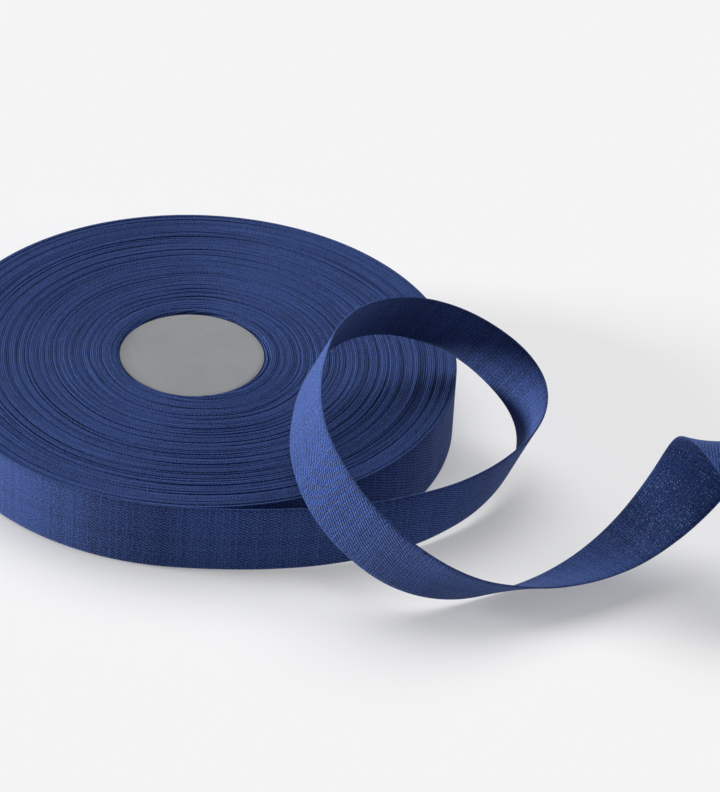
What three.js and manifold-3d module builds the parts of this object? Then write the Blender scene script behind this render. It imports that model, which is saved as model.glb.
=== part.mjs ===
// A flat roll of woven cotton ribbon lying on its side, with the loose end of its outermost turn
// curling away over the roll's edge. Millimetres, +Z up.
// The origin is the middle of the roll's underside, on the surface that it lies on.
// The loose end leaves the roll at its front, towards +X.

import * as THREE from "three";
import { mergeVertices } from "three/addons/utils/BufferGeometryUtils.js";
import Module from "manifold-3d";

const wasm = await Module();
wasm.setup();

// Driving dimensions

const RIBBON_WIDTH = 16;
const CLEARANCE = 0.3; // between pieces that touch

const ROLL_RADIUS = 56.9; // on the outermost turn, where the loose end leaves it
const ROLL_STEP_DEG = -92; // direction, seen from above, in which the outermost turn ends
const ROLL_STEP_EASE_DEG = 20; // the step is back to the full radius after this much of a turn
const ROLL_SIDES = 144;

const STICKER_RADIUS = 16.2;
const STICKER_THICKNESS = 1;
const STICKER_OFFSET_X = -1.1; // it was put on a little off the roll's middle
const STICKER_SIDES = 72;

const SHEET_THICKNESS = 1;
const SHEET_RAISE = 0.4; // the loose end sits this much higher than the turns
const SHEET_START_DEG = -91.5;
const SHEET_START_RADIUS = 56.8; // of the sheet's middle plane
const SECTION_STEP = 2.5; // length along the ribbon between two sections of the sheet
const STEPS_PER_SECTION = 5; // short steps in which the sheet's path is worked out
const BEND_BLEND = 14; // length over which the bend of one run eases into the next

// The loose end as a flat strip that is only bent and twisted, so its two edges keep their length.
// bend turns the strip towards its inner face and twist turns it about its own length, in degrees
// over the whole run.
const RUNS = [
  { run: "leaves the roll", length: 25, bend: 11, twist: 1 },
  { run: "stands clear of it", length: 25, bend: 16, twist: 7 },
  { run: "starts to lean out", length: 20, bend: 20, twist: 11 },
  { run: "lifts off the surface", length: 20, bend: 27, twist: 11 },
  { run: "sharp turn at the right", length: 15, bend: 71, twist: 10 },
  { run: "climbs back", length: 15, bend: 26, twist: -4 },
  { run: "crosses to the roll", length: 20, bend: 37, twist: 3 },
  { run: "top of the curl", length: 20, bend: 43, twist: 7 },
  { run: "turns to the front", length: 20, bend: 23, twist: -3 },
  { run: "passes over the rim", length: 20, bend: 37, twist: -6 },
  { run: "comes down in front", length: 20, bend: 33, twist: 6 },
  { run: "flattens out", length: 20, bend: 35, twist: 21 },
  { run: "touches the surface", length: 20, bend: 18, twist: 20 },
  { run: "rises again", length: 20, bend: 25, twist: 23 },
  { run: "climbs to the crest", length: 15, bend: 23, twist: 27 },
  { run: "into the crest", length: 15, bend: 73, twist: 71 },
  { run: "out of the crest", length: 15, bend: 75, twist: 20 },
  { run: "comes down to its cut end", length: 33, bend: 45, twist: -30 },
];

// Colours

const RIBBON_BLUE = 0x2f4684;
const STICKER_GREY = 0x919496;

function cottonMaterial() {
  return new THREE.MeshStandardMaterial({ color: RIBBON_BLUE, roughness: 0.9, metalness: 0 });
}

function paperMaterial() {
  return new THREE.MeshStandardMaterial({ color: STICKER_GREY, roughness: 0.7, metalness: 0 });
}

// Solids

function solidOf(geometry) {
  const bare = geometry.clone();
  bare.deleteAttribute("normal");
  bare.deleteAttribute("uv");
  const merged = mergeVertices(bare, 1e-4);
  const vertProperties = new Float32Array(merged.attributes.position.array);
  const triVerts = new Uint32Array(merged.index.array);
  return new wasm.Manifold(new wasm.Mesh({ numProp: 3, vertProperties, triVerts }));
}

function geometryOf(solid) {
  const mesh = solid.getMesh();
  const geometry = new THREE.BufferGeometry();
  geometry.setAttribute("position", new THREE.BufferAttribute(mesh.vertProperties, 3));
  geometry.setIndex(new THREE.BufferAttribute(mesh.triVerts, 1));
  return geometry;
}

// An upright disc standing on height z.
function discGeometry(radius, height, sides, x, z) {
  const geometry = new THREE.CylinderGeometry(radius, radius, height, sides);
  geometry.rotateX(Math.PI / 2);
  geometry.translate(x, 0, z + height / 2);
  return geometry;
}

// The roll's outline is round but for a small step, from which the loose end carries on. Beyond the
// step the outline eases back out, beside the sheet that leaves it.
function rollGeometry() {
  const stepDepth = SHEET_THICKNESS + CLEARANCE;
  const outline = new THREE.Shape();
  for (let side = 0; side <= ROLL_SIDES; side += 1) {
    const turned = (side / ROLL_SIDES) * 360;
    const angle = THREE.MathUtils.degToRad(ROLL_STEP_DEG + turned);
    const radius = ROLL_RADIUS - stepDepth * Math.max(0, 1 - turned / ROLL_STEP_EASE_DEG);
    const x = radius * Math.cos(angle);
    const y = radius * Math.sin(angle);
    if (side === 0) outline.moveTo(x, y);
    else outline.lineTo(x, y);
  }
  outline.closePath();
  const wound = new THREE.ExtrudeGeometry(outline, { depth: RIBBON_WIDTH, bevelEnabled: false });
  const recessDepth = STICKER_THICKNESS + CLEARANCE;
  const recess = discGeometry(
    STICKER_RADIUS + CLEARANCE,
    2 * recessDepth,
    STICKER_SIDES,
    STICKER_OFFSET_X,
    RIBBON_WIDTH - recessDepth,
  );
  return geometryOf(solidOf(wound).subtract(solidOf(recess)));
}

function stickerGeometry() {
  const underside = RIBBON_WIDTH - STICKER_THICKNESS;
  return discGeometry(
    STICKER_RADIUS,
    STICKER_THICKNESS,
    STICKER_SIDES,
    STICKER_OFFSET_X,
    underside,
  );
}

// Bend and twist, in radians for each millimetre at a place along the strip: the mean of the runs
// that lie within half a blend of it.
function bendAndTwistAt(place) {
  let runStart = 0;
  let bend = 0;
  let twist = 0;
  RUNS.forEach((row, index) => {
    const from = index === 0 ? -Infinity : runStart;
    const to = index === RUNS.length - 1 ? Infinity : runStart + row.length;
    const near = Math.max(from, place - BEND_BLEND / 2);
    const far = Math.min(to, place + BEND_BLEND / 2);
    const share = Math.max(0, far - near) / BEND_BLEND;
    bend += (share * row.bend) / row.length;
    twist += (share * row.twist) / row.length;
    runStart += row.length;
  });
  return { bend: THREE.MathUtils.degToRad(bend), twist: THREE.MathUtils.degToRad(twist) };
}

// The strip's path: at each section its middle, the direction across it and the direction towards
// its inner face.
function sheetSections() {
  const length = RUNS.reduce((sum, row) => sum + row.length, 0);
  const sectionCount = Math.round(length / SECTION_STEP);
  const step = length / sectionCount / STEPS_PER_SECTION;
  const start = THREE.MathUtils.degToRad(SHEET_START_DEG);
  const middle = new THREE.Vector3(
    SHEET_START_RADIUS * Math.cos(start),
    SHEET_START_RADIUS * Math.sin(start),
    RIBBON_WIDTH / 2 + SHEET_RAISE,
  );
  const along = new THREE.Vector3(-Math.sin(start), Math.cos(start), 0);
  const across = new THREE.Vector3(0, 0, 1);
  const sections = [];
  for (let count = 0; count <= sectionCount * STEPS_PER_SECTION; count += 1) {
    if (count % STEPS_PER_SECTION === 0) {
      const inward = new THREE.Vector3().crossVectors(across, along);
      sections.push({ middle: middle.clone(), across: across.clone(), inward });
    }
    const { bend, twist } = bendAndTwistAt((count + 0.5) * step);
    const turn = new THREE.Vector3().addScaledVector(across, bend).addScaledVector(along, twist);
    const angle = turn.length() * step;
    turn.normalize();
    along.applyAxisAngle(turn, angle / 2);
    middle.addScaledVector(along, step);
    along.applyAxisAngle(turn, angle / 2);
    across.applyAxisAngle(turn, angle);
  }
  return sections;
}

function looseEndGeometry() {
  const positions = [];
  const triangles = [];
  const sections = sheetSections();
  const corners = [
    [-1, -1],
    [1, -1],
    [1, 1],
    [-1, 1],
  ];
  sections.forEach(({ middle, across, inward }) => {
    corners.forEach(([side, face]) => {
      const corner = middle
        .clone()
        .addScaledVector(across, (side * RIBBON_WIDTH) / 2)
        .addScaledVector(inward, (face * SHEET_THICKNESS) / 2);
      positions.push(corner.x, corner.y, corner.z);
    });
  });
  for (let section = 0; section < sections.length - 1; section += 1) {
    for (let corner = 0; corner < 4; corner += 1) {
      const a = section * 4 + corner;
      const b = section * 4 + ((corner + 1) % 4);
      triangles.push(a, b + 4, b, a, a + 4, b + 4);
    }
  }
  const last = (sections.length - 1) * 4;
  triangles.push(0, 1, 2, 0, 2, 3);
  triangles.push(last, last + 2, last + 1, last, last + 3, last + 2);
  const geometry = new THREE.BufferGeometry();
  geometry.setAttribute("position", new THREE.Float32BufferAttribute(positions, 3));
  geometry.setIndex(triangles);
  geometry.computeVertexNormals();
  return geometry;
}

// The pieces

const rollOfRibbon = new THREE.Group();

function addPiece(name, geometry, material) {
  const mesh = new THREE.Mesh(geometry, material);
  mesh.name = name;
  rollOfRibbon.add(mesh);
}

addPiece("roll", rollGeometry(), cottonMaterial());
addPiece("loose_end", looseEndGeometry(), cottonMaterial());
addPiece("sticker", stickerGeometry(), paperMaterial());

export default rollOfRibbon;
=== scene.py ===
import math

import bpy
import numpy as np
from mathutils import Matrix, Vector


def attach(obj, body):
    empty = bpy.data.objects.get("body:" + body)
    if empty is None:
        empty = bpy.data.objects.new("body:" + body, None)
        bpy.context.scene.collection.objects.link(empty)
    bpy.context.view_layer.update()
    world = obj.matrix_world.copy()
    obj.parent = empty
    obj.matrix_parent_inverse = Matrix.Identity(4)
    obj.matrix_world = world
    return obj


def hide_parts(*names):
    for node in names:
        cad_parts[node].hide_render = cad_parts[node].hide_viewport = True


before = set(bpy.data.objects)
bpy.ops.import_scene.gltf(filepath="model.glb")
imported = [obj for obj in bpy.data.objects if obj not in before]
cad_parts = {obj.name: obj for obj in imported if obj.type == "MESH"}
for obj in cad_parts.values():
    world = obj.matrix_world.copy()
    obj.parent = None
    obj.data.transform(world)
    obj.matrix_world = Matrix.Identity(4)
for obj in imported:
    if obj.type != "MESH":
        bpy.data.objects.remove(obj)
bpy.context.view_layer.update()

# The wound turns. One long cotton ribbon is rolled tightly on itself, flat on its side, and what
# shows on top are its woven selvedges, turn beside turn. Here and there a turn is wound a little
# looser and sits a little lower, which leaves the fine dark lines round the roll.
RIBBON_WIDTH = 0.0159
RIBBON_THICKNESS = 0.00038
PICK_PITCH = 0.000725  # along the ribbon, from one weft yarn to the next
END_PITCH = 0.000362  # across it, from one warp yarn to the next
SELVEDGE_ROUNDING = 0.4 * RIBBON_THICKNESS


def wander(count, reach, seed):
    # Smooth random values from -1 to 1 that are new after every `reach` steps.
    knots = np.random.default_rng(seed).uniform(-1, 1, int(count / reach) + 3)
    place = np.arange(count) / reach
    whole = place.astype(int)
    part = place - whole
    part = part * part * (3 - 2 * part)
    return knots[whole] * (1 - part) + knots[whole + 1] * part


def eased(low, high, values):
    # Rises smoothly from 0 at low to 1 at high.
    part = np.clip((values - low) / (high - low), 0, 1)
    return part * part * (3 - 2 * part)


def ribbon_outline(columns):
    # The ribbon's cross-section, round both faces and both rounded selvedges: the distance out of
    # its middle plane, the distance across it, and 1 on the outer face or -1 on the inner one.
    half_thickness = np.full(columns, RIBBON_THICKNESS / 2)
    face = np.linspace(-1, 1, columns) * (RIBBON_WIDTH / 2 - SELVEDGE_ROUNDING)
    edge_out = RIBBON_THICKNESS * np.array([0.3, 0, -0.3])
    edge_across = RIBBON_WIDTH / 2 - SELVEDGE_ROUNDING * np.array([0.2, 0, 0.2])
    out = np.concatenate([half_thickness, edge_out, -half_thickness, -edge_out])
    across = np.concatenate([face, edge_across, face[::-1], -edge_across])
    side = np.concatenate([np.ones(columns), [1, 0, -1], -np.ones(columns), [-1, 0, 1]])
    return out, across, side


def lie_on_ribbon(place, across, side):
    # Where each point is on the ribbon: along it, across it, and on which face.
    return np.stack(np.broadcast_arrays(place[:, None], across[None], side[None]), axis=-1)


def ribbon_mesh(name, points, lie, cloth):
    # A closed strip through rows of points, each row once round the cross-section.
    rows, ring = points.shape[:2]
    start = np.arange(rows - 1)[:, None] * ring
    here = start + np.arange(ring)
    beside = start + (np.arange(ring) + 1) % ring
    quads = np.stack([here, here + ring, beside + ring, beside], axis=-1).reshape(-1, 4)
    caps = [list(range(ring)), list(range(rows * ring - 1, (rows - 1) * ring - 1, -1))]
    mesh = bpy.data.meshes.new(name)
    mesh.from_pydata(points.reshape(-1, 3).tolist(), [], quads.tolist() + caps)
    mesh.attributes.new("lie", "FLOAT_VECTOR", "POINT").data.foreach_set(
        "vector", lie.reshape(-1).astype(np.float32)
    )
    mesh.materials.append(cloth)
    strip = bpy.data.objects.new(name, mesh)
    bpy.context.collection.objects.link(strip)
    bpy.ops.object.select_all(action="DESELECT")
    bpy.context.view_layer.objects.active = strip
    strip.select_set(True)
    bpy.ops.object.shade_smooth_by_angle(angle=math.radians(55))
    return strip


def feed(tree, socket, value):
    # Links another node's output to the socket, or sets a constant on it.
    if isinstance(value, bpy.types.NodeSocket):
        tree.links.new(value, socket)
    else:
        socket.default_value = value


def add_node(tree, kind, feeds, **settings):
    made = tree.nodes.new(kind)
    for setting, value in settings.items():
        setattr(made, setting, value)
    for socket, value in feeds.items():
        feed(tree, made.inputs[socket], value)
    return made


def maths(tree, operation, *terms):
    feeds = dict(enumerate(terms))
    return add_node(tree, "ShaderNodeMath", feeds, operation=operation).outputs[0]


def between(tree, low, high, value):
    # Rises smoothly from 0 at low to 1 at high.
    made = add_node(
        tree,
        "ShaderNodeMapRange",
        {"Value": value, "From Min": low, "From Max": high},
        interpolation_type="SMOOTHSTEP",
    )
    return made.outputs["Result"]


def varied(tree, base, value, amount):
    # The base, moved up or down by at most half the amount as the value goes from 0 to 1.
    return maths(tree, "MULTIPLY_ADD", maths(tree, "SUBTRACT", value, 0.5), amount, base)


def mixed(tree, share, first, second):
    feeds = {0: share, 2: first, 3: second}
    return add_node(tree, "ShaderNodeMix", feeds, data_type="FLOAT").outputs[0]


def blended(tree, share, first, second):
    made = add_node(tree, "ShaderNodeMix", {}, data_type="RGBA")
    for socket, value in zip((made.inputs[0], made.inputs[6], made.inputs[7]), (share, first, second)):
        feed(tree, socket, value)
    return made.outputs[2]


def noise(tree, place, scale, detail, roughness=0.5):
    feeds = {"Vector": place, "Scale": scale, "Detail": detail, "Roughness": roughness}
    return add_node(tree, "ShaderNodeTexNoise", feeds).outputs


def luck_of(tree, count):
    feeds = {"W": maths(tree, "FLOOR", count)}
    kind = "ShaderNodeTexWhiteNoise"
    return add_node(tree, kind, feeds, noise_dimensions="1D").outputs["Value"]


def plain_weave(tree, lie, along, across):
    # The count of picks and of ends at a place, the wave of each, and how high warp and weft stand.
    # Yarns wander a little from their straight lines.
    drift = noise(tree, lie, 330.0, 2.0, 0.6)["Color"]
    drift_parts = add_node(tree, "ShaderNodeSeparateColor", {"Color": drift}).outputs
    pick = maths(tree, "MULTIPLY_ADD", along, 1 / PICK_PITCH, drift_parts[0])
    end = maths(tree, "MULTIPLY_ADD", across, 1 / END_PITCH, drift_parts[1])
    wave_along = maths(tree, "SINE", maths(tree, "MULTIPLY", pick, math.pi))
    wave_across = maths(tree, "SINE", maths(tree, "MULTIPLY", end, math.pi))
    # A yarn is round, and is high where it passes over the one that crosses it.
    over = maths(tree, "MULTIPLY", wave_along, maths(tree, "SIGN", wave_across))
    under = maths(tree, "MULTIPLY", wave_across, maths(tree, "SIGN", wave_along))
    warp_round = maths(tree, "POWER", maths(tree, "ABSOLUTE", wave_across), 0.6)
    weft_round = maths(tree, "POWER", maths(tree, "ABSOLUTE", wave_along), 0.6)
    warp = maths(tree, "MULTIPLY", warp_round, maths(tree, "MULTIPLY_ADD", over, 0.5, 0.5))
    weft = maths(tree, "MULTIPLY", weft_round, maths(tree, "MULTIPLY_ADD", under, -0.5, 0.5))
    return (pick, end), (wave_along, wave_across), (warp, weft)


def crown_light_and_shade(tree, counts, waves, across, face, shown, dye):
    # How much painted light the tops of the yarns get against the painted shade deep between them, as
    # the weave shows it.
    pick, end = counts
    wave_along, wave_across = waves
    # The warp yarns cover most of the face. The painted light on their tops leans with the twist.
    checker = maths(tree, "MULTIPLY", maths(tree, "MULTIPLY", wave_along, wave_across), 0.25)
    slant = maths(tree, "COSINE", maths(tree, "MULTIPLY", maths(tree, "ADD", pick, end), math.pi))
    lit = maths(tree, "MULTIPLY_ADD", slant, -0.4, checker)
    # The inner face was the underside in the loom, and gets a quarter of that painted light and shade.
    outer_face = maths(tree, "GREATER_THAN", face, 0.0)
    lit = maths(tree, "MULTIPLY", lit, maths(tree, "MULTIPLY_ADD", outer_face, 0.75, 0.25))
    # Between two picks the cloth dips, and the dip is painted darker as shade. The warp yarns lie in
    # pairs.
    dips = maths(tree, "MULTIPLY", wave_along, wave_along)
    pairs = maths(tree, "COSINE", maths(tree, "MULTIPLY", end, math.pi))
    lit = varied(tree, lit, dips, 0.28)
    lit = maths(tree, "MULTIPLY_ADD", pairs, 0.12, lit)
    lit = maths(tree, "MULTIPLY_ADD", lit, shown, 0.5)
    # Along the selvedges the weft turns back round the last warp yarn, in a row of small loops,
    # painted lighter on each loop and darker between them.
    loops = maths(tree, "MULTIPLY_ADD", dye, 9.0, pick)
    loops = maths(tree, "ABSOLUTE", maths(tree, "SINE", maths(tree, "MULTIPLY", loops, math.pi)))
    loops = maths(tree, "MULTIPLY_ADD", loops, 0.35, 0.3)
    selvedge = between(tree, 0.0074, 0.0078, maths(tree, "ABSOLUTE", across))
    return mixed(tree, selvedge, lit, loops)


def pinhole_light_mask(tree, counts, waves, lie, along, across, face):
    # Where the ribbon is bent open, the light from behind that shows between the yarns is painted on
    # as pale specks. They are on the inner face, 27 to 30 cm along, in patches and clear of the
    # selvedges.
    from_hole = [maths(tree, "ABSOLUTE", wave) for wave in waves]
    whole = dict(enumerate(maths(tree, "ROUND", count) for count in counts))
    hole = add_node(tree, "ShaderNodeCombineXYZ", whole).outputs[0]
    luck = add_node(tree, "ShaderNodeTexWhiteNoise", {"Vector": hole}).outputs["Value"]
    patches = noise(tree, lie, 260.0, 1.0)["Fac"]
    speck_light = between(tree, 0.7, 0.35, maths(tree, "ADD", *from_hole))
    for factor in (
        between(tree, 0.66, 0.9, varied(tree, luck, patches, 0.7)),
        between(tree, 0.268, 0.28, along),
        between(tree, 0.306, 0.298, along),
        maths(tree, "LESS_THAN", face, 0.0),
        between(tree, 0.0074, 0.0064, maths(tree, "ABSOLUTE", across)),
    ):
        speck_light = maths(tree, "MULTIPLY", speck_light, factor)
    return speck_light


# Colours of the weave: painted shade deep between the yarns, and painted light on their tops.
YARN_PAINTED_SHADE = (0.005, 0.009, 0.034, 1)
YARN_LIT_CROWN = (0.052, 0.104, 0.345, 1)
PINHOLE_PAINTED_LIGHT = (0.6, 0.78, 1, 1)


def ribbon_cotton(name, painted_pinhole_light=False):
    cloth = bpy.data.materials.new(name)
    cloth.use_nodes = True
    tree = cloth.node_tree
    shader = tree.nodes["Principled BSDF"]
    shader.inputs["Roughness"].default_value = 0.92
    shader.inputs["Specular IOR Level"].default_value = 0.2
    shader.inputs["Sheen Weight"].default_value = 0.12
    shader.inputs["Sheen Roughness"].default_value = 0.45
    shader.inputs["Sheen Tint"].default_value = (0.45, 0.6, 1, 1)

    lie = add_node(tree, "ShaderNodeAttribute", {}, attribute_name="lie").outputs["Vector"]
    along, across, face = add_node(tree, "ShaderNodeSeparateXYZ", {"Vector": lie}).outputs
    counts, waves, (warp, weft) = plain_weave(tree, lie, along, across)
    # Lengths of the ribbon took the dye a little differently, so that turns differ in tone.
    dye_feeds = {"W": along, "Scale": 26.0, "Detail": 1.5}
    dye = add_node(tree, "ShaderNodeTexNoise", dye_feeds, noise_dimensions="1D").outputs["Fac"]
    # Wound turns are pressed flat and show half of their weave. It opens where the ribbon runs
    # free, and closes again at the crest.
    opened = between(tree, 0.03, 0.13, along)
    opened = maths(tree, "MULTIPLY", opened, between(tree, 0.3, 0.28, along))
    shown = maths(tree, "MULTIPLY_ADD", opened, 0.5, 0.5)

    # Each yarn has its own tone, and spun cotton is thick and thin along its length.
    weft_tone, warp_tone = (luck_of(tree, count) for count in counts)
    tone = mixed(tree, maths(tree, "GREATER_THAN", weft, warp), warp_tone, weft_tone)
    slub = noise(tree, lie, 2300.0, 2.0, 0.6)["Fac"]
    # The weave's painted light and shade, varied by the yarns' own tone, slubs and dye.
    share = crown_light_and_shade(tree, counts, waves, across, face, shown, dye)
    for value, amount in ((tone, 0.3), (slub, 2.2), (dye, 0.5)):
        share = varied(tree, share, value, amount)
    share = add_node(tree, "ShaderNodeClamp", {"Value": share, "Min": 0.0, "Max": 1.5}).outputs[0]
    colour = blended(tree, share, YARN_PAINTED_SHADE, YARN_LIT_CROWN)
    colour.node.clamp_factor = False
    if painted_pinhole_light:
        # Pale specks painted where light from behind shows through the weave.
        speck_light = pinhole_light_mask(tree, counts, waves, lie, along, across, face)
        colour = blended(tree, speck_light, colour, PINHOLE_PAINTED_LIGHT)
    tree.links.new(colour, shader.inputs["Base Color"])

    height = maths(tree, "MAXIMUM", warp, maths(tree, "MULTIPLY", weft, 0.75))
    fibre = noise(tree, lie, 4200.0, 2.0)["Fac"]
    relief = maths(tree, "MULTIPLY_ADD", fibre, 0.35, maths(tree, "MULTIPLY", height, shown))
    bump_feeds = {"Strength": 0.8, "Distance": 0.00012, "Height": relief}
    bump = add_node(tree, "ShaderNodeBump", bump_feeds).outputs[0]
    tree.links.new(bump, shader.inputs["Normal"])
    return cloth


wound_cotton = ribbon_cotton("wound_ribbon_cotton")

LEAVING_ANGLE = math.radians(-91.5)  # where the loose end leaves the roll, seen from above
LEAVING_HEIGHT = 0.0084  # of the ribbon's middle there
OUTER_RADIUS = 0.0568
HOLLOW_RADIUS = 0.0032  # at which the winding starts, under the sticker
TURN_STEPS = 150
MOST_TURNS = 150
most_steps = TURN_STEPS * MOST_TURNS

# Every few turns one is wound slack: it sits lower than its neighbours, with a gap beside it.
SLACK_EVERY = 3.7  # turns
SLACK_REACH = 0.23  # of that, to either side
slack_count = (
    np.arange(most_steps) / (TURN_STEPS * SLACK_EVERY)
    + 0.45 * wander(most_steps, TURN_STEPS * 3, 11)
)
slack_share = np.clip(1 - np.abs(slack_count % 1 - 0.5) / SLACK_REACH, 0, 1)
slack_share = slack_share**0.6 * np.clip(
    0.55 + 0.3 * wander(most_steps, 60, 12) + 0.35 * wander(most_steps, 9, 14), 0, 1
)
TIGHT_GAP = 0.00001
GAP_CHANGE = 0.000016
SLACK_GAP = 0.00017
turn_gap = TIGHT_GAP + GAP_CHANGE * (1 + wander(most_steps, 31, 13)) + SLACK_GAP * slack_share

# The outermost turn bulges a little on the roll's right, and over its last fifth it eases in
# under the place where the loose end leaves. Each further turn lies inside the one before it
# and follows its form.
BULGE = 0.00035
turn_share = np.arange(TURN_STEPS) / TURN_STEPS
bulge = BULGE * eased(0.42, 0.62, turn_share) * eased(0.99, 0.86, turn_share)
ease_in = (RIBBON_THICKNESS + turn_gap[0]) * eased(0.8, 1, turn_share)
turn_radius = np.empty(most_steps)
turn_radius[:TURN_STEPS] = OUTER_RADIUS + bulge - ease_in
for begin in range(TURN_STEPS, most_steps, TURN_STEPS):
    before = slice(begin - TURN_STEPS, begin)
    turn_radius[begin : begin + TURN_STEPS] = (
        turn_radius[before] - RIBBON_THICKNESS - turn_gap[before]
    )
last_step = int(np.argmax(turn_radius < HOLLOW_RADIUS))
turn_radius = turn_radius[:last_step]
turn_angle = LEAVING_ANGLE - np.arange(last_step) * 2 * math.pi / TURN_STEPS
# Places along the ribbon count from where it leaves the roll, and are negative on the roll.
turn_place = -np.concatenate(
    [[0], np.cumsum((turn_radius[1:] + turn_radius[:-1]) / 2 * 2 * math.pi / TURN_STEPS)]
)
# The turns all but touch at their lower selvedges, and so no light comes up between them.
GAP_CLOSED = 0.9
gap_outside = np.concatenate([np.zeros(TURN_STEPS), turn_gap[: last_step - TURN_STEPS]])
gap_outside = GAP_CLOSED * gap_outside

# How high each step stands on the surface, and how far the sticker presses the turns under it.
TURN_LIFT = 0.00031
LIFT_CHANGE = 0.00006
SLACK_DROP = 0.00038
STICKER_X, STICKER_Y = -0.001, 0.0004  # it was put on a little off the roll's middle
STICKER_RADIUS = 0.0159
STICKER_TOP = 0.0157
STICKER_PAPER = 0.0003
PRESSED_RIM = (0.0008, 0.0002)  # outside the sticker's rim, where the pressing begins and is full
PRESSED_CLEAR = 0.00005
turn_lift = (
    TURN_LIFT
    + LIFT_CHANGE * wander(last_step, 45, 22)
    + LIFT_CHANGE * wander(last_step, TURN_STEPS * 4, 23)
    - SLACK_DROP * slack_share[:last_step]
)
turn_lift = np.clip(turn_lift, 0, None)
# The outermost turn comes to the loose end's height where it leaves.
at_the_end = eased(0.75 * TURN_STEPS, 0, np.arange(last_step))
turn_lift = turn_lift * (1 - at_the_end) + (LEAVING_HEIGHT - RIBBON_WIDTH / 2) * at_the_end
from_sticker = np.hypot(
    turn_radius * np.cos(turn_angle) - STICKER_X, turn_radius * np.sin(turn_angle) - STICKER_Y
)
turn_pressed = (turn_lift + RIBBON_WIDTH) - (STICKER_TOP - STICKER_PAPER - PRESSED_CLEAR)
turn_pressed = turn_pressed * eased(
    STICKER_RADIUS + PRESSED_RIM[0], STICKER_RADIUS + PRESSED_RIM[1], from_sticker
)


def wound_points(steps, columns):
    # Points and lie of the wound ribbon at the given steps, which may be fractions.
    counts = np.arange(last_step)
    radius, lift, pressed, place, gap = (
        np.interp(steps, counts, values)[:, None]
        for values in (turn_radius, turn_lift, turn_pressed, turn_place, gap_outside)
    )
    angle = (LEAVING_ANGLE - steps * 2 * math.pi / TURN_STEPS)[:, None]
    out, across, side = ribbon_outline(columns)
    touching = (across < 0) & (side > 0)
    reach = radius + out + touching * gap
    height = lift + RIBBON_WIDTH / 2 + across - (across > 0) * pressed
    points = np.stack([reach * np.cos(angle), reach * np.sin(angle), height], axis=-1)
    return points, lie_on_ribbon(place[:, 0], across, side)


for part_name, first_step, stop in (
    ("turns_outer", TURN_STEPS, 36 * TURN_STEPS + 1),
    ("turns_middle", 36 * TURN_STEPS, 76 * TURN_STEPS + 1),
    ("turns_inner", 76 * TURN_STEPS, last_step),
):
    wound = ribbon_mesh(part_name, *wound_points(np.arange(first_step, stop), 2), wound_cotton)
    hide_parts("roll")
    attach(wound, "root")

# The outermost turn. It is the same ribbon, and its outer face is the roll's side, where the
# plain weave shows. It is modelled pick by pick, so that its selvedges are as fine as those of
# the loose end that carries on from it.
PICK_ROWS = 4
FACE_COLUMNS = 13
SCALLOP = 0.00005
SCALLOP_FROM, SCALLOP_TO = 0.0072, 0.0079  # from the ribbon's middle line


def scalloped(points, lie, upward):
    # Pulls the selvedges in between two picks, where no weft yarn turns back.
    dip = SCALLOP * (1 - np.abs(np.sin(math.pi * lie[..., 0] / PICK_PITCH)))
    near_edge = eased(SCALLOP_FROM, SCALLOP_TO, np.abs(lie[..., 1])) * np.sign(lie[..., 1])
    return points - (dip * near_edge)[..., None] * upward


outer_rows = int(2 * math.pi * OUTER_RADIUS / (PICK_PITCH / PICK_ROWS))
outer_points, outer_lie = wound_points(np.linspace(0, TURN_STEPS, outer_rows), FACE_COLUMNS)
outer_points = scalloped(outer_points, outer_lie, np.array([0, 0, 1]))
outermost = ribbon_mesh("turn_outermost", outer_points, outer_lie, wound_cotton)
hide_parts("roll")
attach(outermost, "root")

# The loose end, the last 358 mm of the ribbon. It doubles back over the roll's rim in a curl,
# touches the surface in front and rises again to a sharp crest. Nothing is sewn: it is one flat
# strip, only bent and twisted, so both selvedges keep their length.
RUNS = [
    # name, length in mm, bend and twist in degrees over that length
    ("leaves the roll", 25, 11, 1),
    ("stands clear of it", 25, 16, 7),
    ("starts to lean out", 20, 20, 11),
    ("lifts off the surface", 20, 27, 11),
    ("sharp turn at the right", 15, 71, 10),
    ("climbs back", 15, 26, -4),
    ("crosses to the roll", 20, 37, 3),
    ("top of the curl", 20, 43, 7),
    ("turns to the front", 20, 23, -3),
    ("passes over the rim", 20, 37, -6),
    ("comes down in front", 20, 33, 6),
    ("flattens out", 20, 35, 21),
    ("touches the surface", 20, 18, 20),
    ("rises again", 20, 25, 23),
    ("climbs to the crest", 15, 23, 27),
    ("into the crest", 15, 73, 71),
    ("out of the crest", 15, 75, 20),
    ("comes down to its cut end", 33, 45, -30),
]
BEND_BLEND = 14  # mm over which one run eases into the next
loose_length = sum(length for name, length, bend, twist in RUNS)


def bend_and_twist(place):
    # In radians for each millimetre: the mean of the runs within half a blend of the place.
    begin = 0
    bend_rate = twist_rate = 0
    for index, (name, length, bend, twist) in enumerate(RUNS):
        low = -math.inf if index == 0 else begin
        high = math.inf if index == len(RUNS) - 1 else begin + length
        near = max(low, place - BEND_BLEND / 2)
        far = min(high, place + BEND_BLEND / 2)
        share = max(0, far - near) / BEND_BLEND
        bend_rate += share * math.radians(bend) / length
        twist_rate += share * math.radians(twist) / length
        begin += length
    return bend_rate, twist_rate


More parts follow.
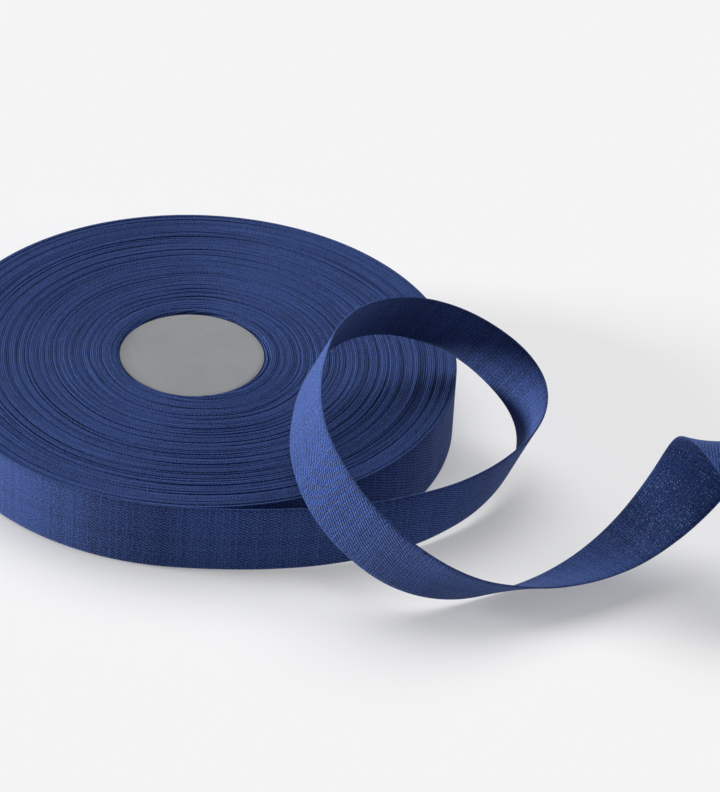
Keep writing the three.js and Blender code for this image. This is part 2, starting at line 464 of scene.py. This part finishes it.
loose_rows = int(loose_length / 1000 / (PICK_PITCH / PICK_ROWS))
row_step = loose_length / loose_rows
leaving = Vector((math.cos(LEAVING_ANGLE), math.sin(LEAVING_ANGLE), 0))
forward = Vector((-leaving.y, leaving.x, 0))
upward = Vector((0, 0, 1))
middle = (leaving * OUTER_RADIUS + upward * LEAVING_HEIGHT) * 1000
path_middle, path_across, path_outward = [], [], []
for row in range(loose_rows + 1):
    path_middle.append(middle / 1000)
    path_across.append(upward.copy())
    path_outward.append(forward.cross(upward))
    bend_rate, twist_rate = bend_and_twist((row + 0.5) * row_step)
    turning = upward * bend_rate + forward * twist_rate
    half_turn = Matrix.Rotation(turning.length * row_step / 2, 3, turning)
    forward = half_turn @ forward
    middle = middle + forward * row_step
    forward = half_turn @ forward
    upward = half_turn @ half_turn @ upward
path_middle, path_across, path_outward = (
    np.array([list(place) for place in path])[:, None]
    for path in (path_middle, path_across, path_outward)
)

# Woven ribbon never lies quite flat: it ripples by a hair, most at its selvedges.
MIDDLE_RIPPLE = 0.00005
EDGE_RIPPLE = 0.00009
out, across, side = ribbon_outline(FACE_COLUMNS)
loose_place = np.arange(loose_rows + 1) * row_step / 1000
settled = eased(0.004, 0.03, loose_place)
edge_share = across / (RIBBON_WIDTH / 2)
rippled = (MIDDLE_RIPPLE * settled * wander(loose_rows + 1, 60, 31))[:, None]
for edge, seed in ((1, 32), (-1, 33)):
    edge_ripple = EDGE_RIPPLE * settled * wander(loose_rows + 1, 42, seed)
    rippled = rippled + edge_ripple[:, None] * np.clip(edge * edge_share, 0, 1) ** 3

loose_lie = lie_on_ribbon(loose_place, across, side)
loose_points = path_middle + path_across * across[:, None] + path_outward * (out + rippled)[..., None]
loose_points = scalloped(loose_points, loose_lie, path_across)
loose_cotton = ribbon_cotton("loose_ribbon_cotton", painted_pinhole_light=True)
loose_end = ribbon_mesh("loose_ribbon", loose_points, loose_lie, loose_cotton)
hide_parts("loose_end")
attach(loose_end, "root")

# The sticker: a round of matt grey uncoated paper, punched out and pressed on the middle of the
# roll, where it holds the inner turns together. Its rim has worn a little soft.
PAPER_DARK = (0.2, 0.203, 0.213, 1)
PAPER_PALE = (0.33, 0.334, 0.346, 1)


def sticker_paper():
    paper = bpy.data.materials.new("sticker_paper")
    paper.use_nodes = True
    tree = paper.node_tree
    shader = tree.nodes["Principled BSDF"]
    shader.inputs["Roughness"].default_value = 0.7
    shader.inputs["Specular IOR Level"].default_value = 0.3
    place = add_node(tree, "ShaderNodeTexCoord", {}).outputs["Object"]
    grain = noise(tree, place, 2600.0, 3.0)["Fac"]
    cloud = noise(tree, place, 160.0, 2.0)["Fac"]
    mottle = maths(tree, "MULTIPLY_ADD", grain, 0.6, maths(tree, "MULTIPLY", cloud, 0.4))
    colour = blended(tree, mottle, PAPER_DARK, PAPER_PALE)
    tree.links.new(colour, shader.inputs["Base Color"])
    bump_feeds = {"Strength": 0.3, "Distance": 0.00003, "Height": grain}
    bump = add_node(tree, "ShaderNodeBump", bump_feeds).outputs[0]
    tree.links.new(bump, shader.inputs["Normal"])
    return paper


bpy.ops.object.select_all(action="DESELECT")
bpy.ops.mesh.primitive_circle_add(
    vertices=96,
    radius=STICKER_RADIUS,
    fill_type="NGON",
    location=(STICKER_X, STICKER_Y, STICKER_TOP - STICKER_PAPER),
)
sticker = bpy.context.object
sticker.name = "sticker_round"
bpy.ops.object.transform_apply(location=True, rotation=True, scale=True)
bpy.ops.object.mode_set(mode="EDIT")
bpy.ops.mesh.select_all(action="SELECT")
bpy.ops.mesh.extrude_region_move(TRANSFORM_OT_translate={"value": (0, 0, STICKER_PAPER)})
# Rings inside the rim keep the shading of the flat top even.
for ring_width in (0.0012, 0.004, 0.004, 0.004):
    bpy.ops.mesh.inset(thickness=ring_width)
bpy.ops.mesh.select_all(action="SELECT")
bpy.ops.mesh.normals_make_consistent(inside=False)
bpy.ops.object.mode_set(mode="OBJECT")
rim = sticker.modifiers.new("soft_rim", "BEVEL")
rim.width = 0.0001
rim.segments = 2
rim.limit_method = "ANGLE"
bpy.ops.object.modifier_apply(modifier=rim.name)
bpy.ops.object.shade_smooth_by_angle(angle=math.radians(40))
sticker.data.materials.append(sticker_paper())
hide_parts("sticker")
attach(sticker, "root")

# The studio: a white sweep under a soft light from above and behind. A low window light comes
# from the left, and a weak light comes back from the wall on the right.
bpy.ops.object.select_all(action="DESELECT")
bpy.ops.mesh.primitive_plane_add(size=12, location=(0, 0, 0))
floor = bpy.context.object
floor.name = "white_sweep"
white = bpy.data.materials.new("white_sweep_paper")
white.use_nodes = True
white_shader = white.node_tree.nodes["Principled BSDF"]
white_shader.inputs["Base Color"].default_value = (0.6, 0.6, 0.605, 1)
white_shader.inputs["Roughness"].default_value = 1
white_shader.inputs["Specular IOR Level"].default_value = 0
white_shader.inputs["Emission Color"].default_value = (1, 1, 1, 1)
white_shader.inputs["Emission Strength"].default_value = 0.31
floor.data.materials.append(white)

LIGHTS = [
    # name, direction towards it, strength, angle across it in degrees
    ("window_light", (-0.985, 0.075, 0.125), 5.4, 18),
    ("ceiling_light", (-0.1, 0.5, 1), 2.15, 60),
    ("far_wall_light", (0.75, -0.15, 0.6), 0.7, 50),
]
for name, towards, strength, angle in LIGHTS:
    lamp = bpy.data.lights.new(name, "SUN")
    lamp.energy = strength
    lamp.angle = math.radians(angle)
    holder = bpy.data.objects.new(name, lamp)
    holder.rotation_mode = "QUATERNION"
    holder.rotation_quaternion = Vector(towards).to_track_quat("Z", "Y")
    bpy.context.collection.objects.link(holder)

world = bpy.data.worlds.new("studio")
world.use_nodes = True
world.node_tree.nodes["Background"].inputs["Color"].default_value = (0.95, 0.97, 1, 1)
world.node_tree.nodes["Background"].inputs["Strength"].default_value = 0.03
bpy.context.scene.world = world

CAMERA_PLACE = (0.03643, -0.7546, 0.5329)
CAMERA_DOWN = 0.6081  # radians below the horizon
CAMERA_ROLL = 0.0599
view_camera = bpy.data.cameras.new("view_camera")
view_camera.sensor_fit = "AUTO"
view_camera.sensor_width = 36
view_camera.lens = 189.09
view_camera.clip_start = 0.01
view_camera.clip_end = 30
camera = bpy.data.objects.new("view_camera", view_camera)
camera.matrix_world = (
    Matrix.Translation(CAMERA_PLACE)
    @ Matrix.Rotation(math.pi / 2 - CAMERA_DOWN, 4, "X")
    @ Matrix.Rotation(CAMERA_ROLL, 4, "Z")
)
bpy.context.collection.objects.link(camera)
bpy.context.scene.camera = camera
bpy.context.scene.view_settings.view_transform = "Standard"
